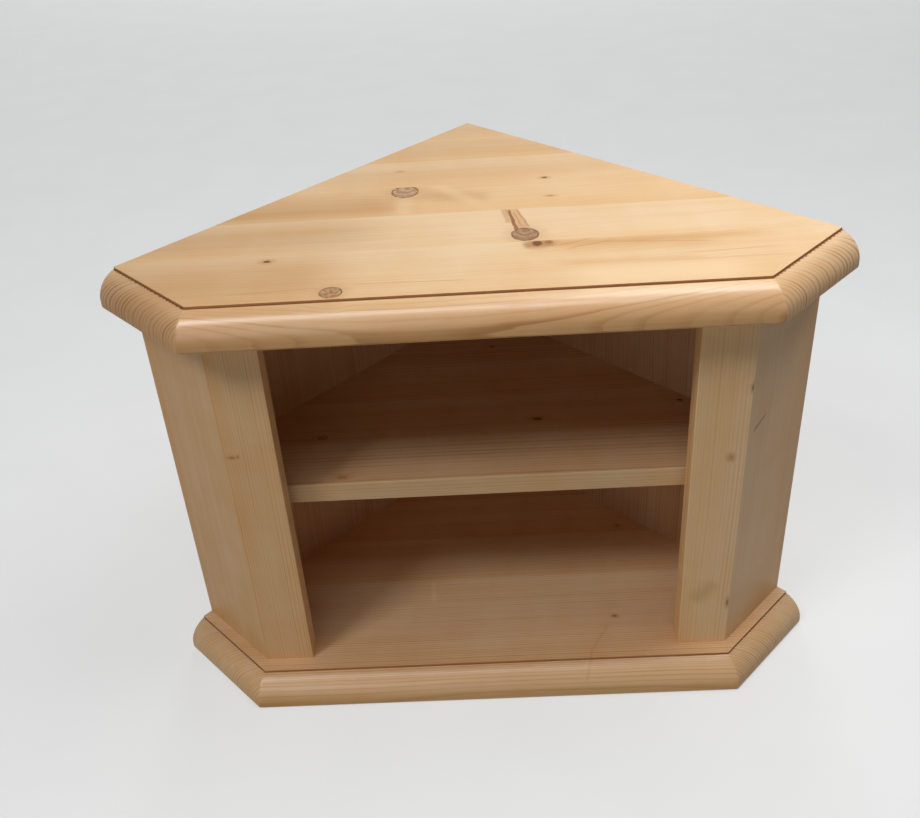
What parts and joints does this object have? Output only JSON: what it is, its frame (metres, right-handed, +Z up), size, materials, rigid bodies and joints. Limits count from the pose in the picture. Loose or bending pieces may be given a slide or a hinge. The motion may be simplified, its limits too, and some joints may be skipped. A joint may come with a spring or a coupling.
{
  "type": "corner television cabinet",
  "caption": "Open corner cabinet of solid softwood for a television: canted front, matching top and base boards with rounded nosing, framed opening, inner shelf, screwed to both walls.",
  "frame": {"origin": "under the middle of the bounding box, on the surface that the base board stands on", "axes": "+X right as seen from the front, +Y into the corner of the room, +Z up"},
  "size_m": [0.6138, 0.3868, 0.432],
  "materials": {
    "spruce": "planed, clear satin lacquer",
    "beech": "raw, glued",
    "screw_steel": "yellow zinc plating"
  },
  "bodies": {
    "root": {"top_board": "spruce", "base_board": "spruce", "left_return_panel": "spruce", "right_return_panel": "spruce", "left_stile": "spruce", "right_stile": "spruce", "left_back_panel": "spruce", "right_back_panel": "spruce", "shelf": "spruce", "left_mitre_spline": "beech", "right_mitre_spline": "beech", "top_return_dowels": "beech", "base_return_dowels": "beech", "top_stile_dowels": "beech", "base_stile_dowels": "beech", "top_back_dowels": "beech", "base_back_dowels": "beech", "left_back_screws": "screw_steel", "right_back_screws": "screw_steel", "rear_corner_screws": "screw_steel"}
  },
  "joints": []
}
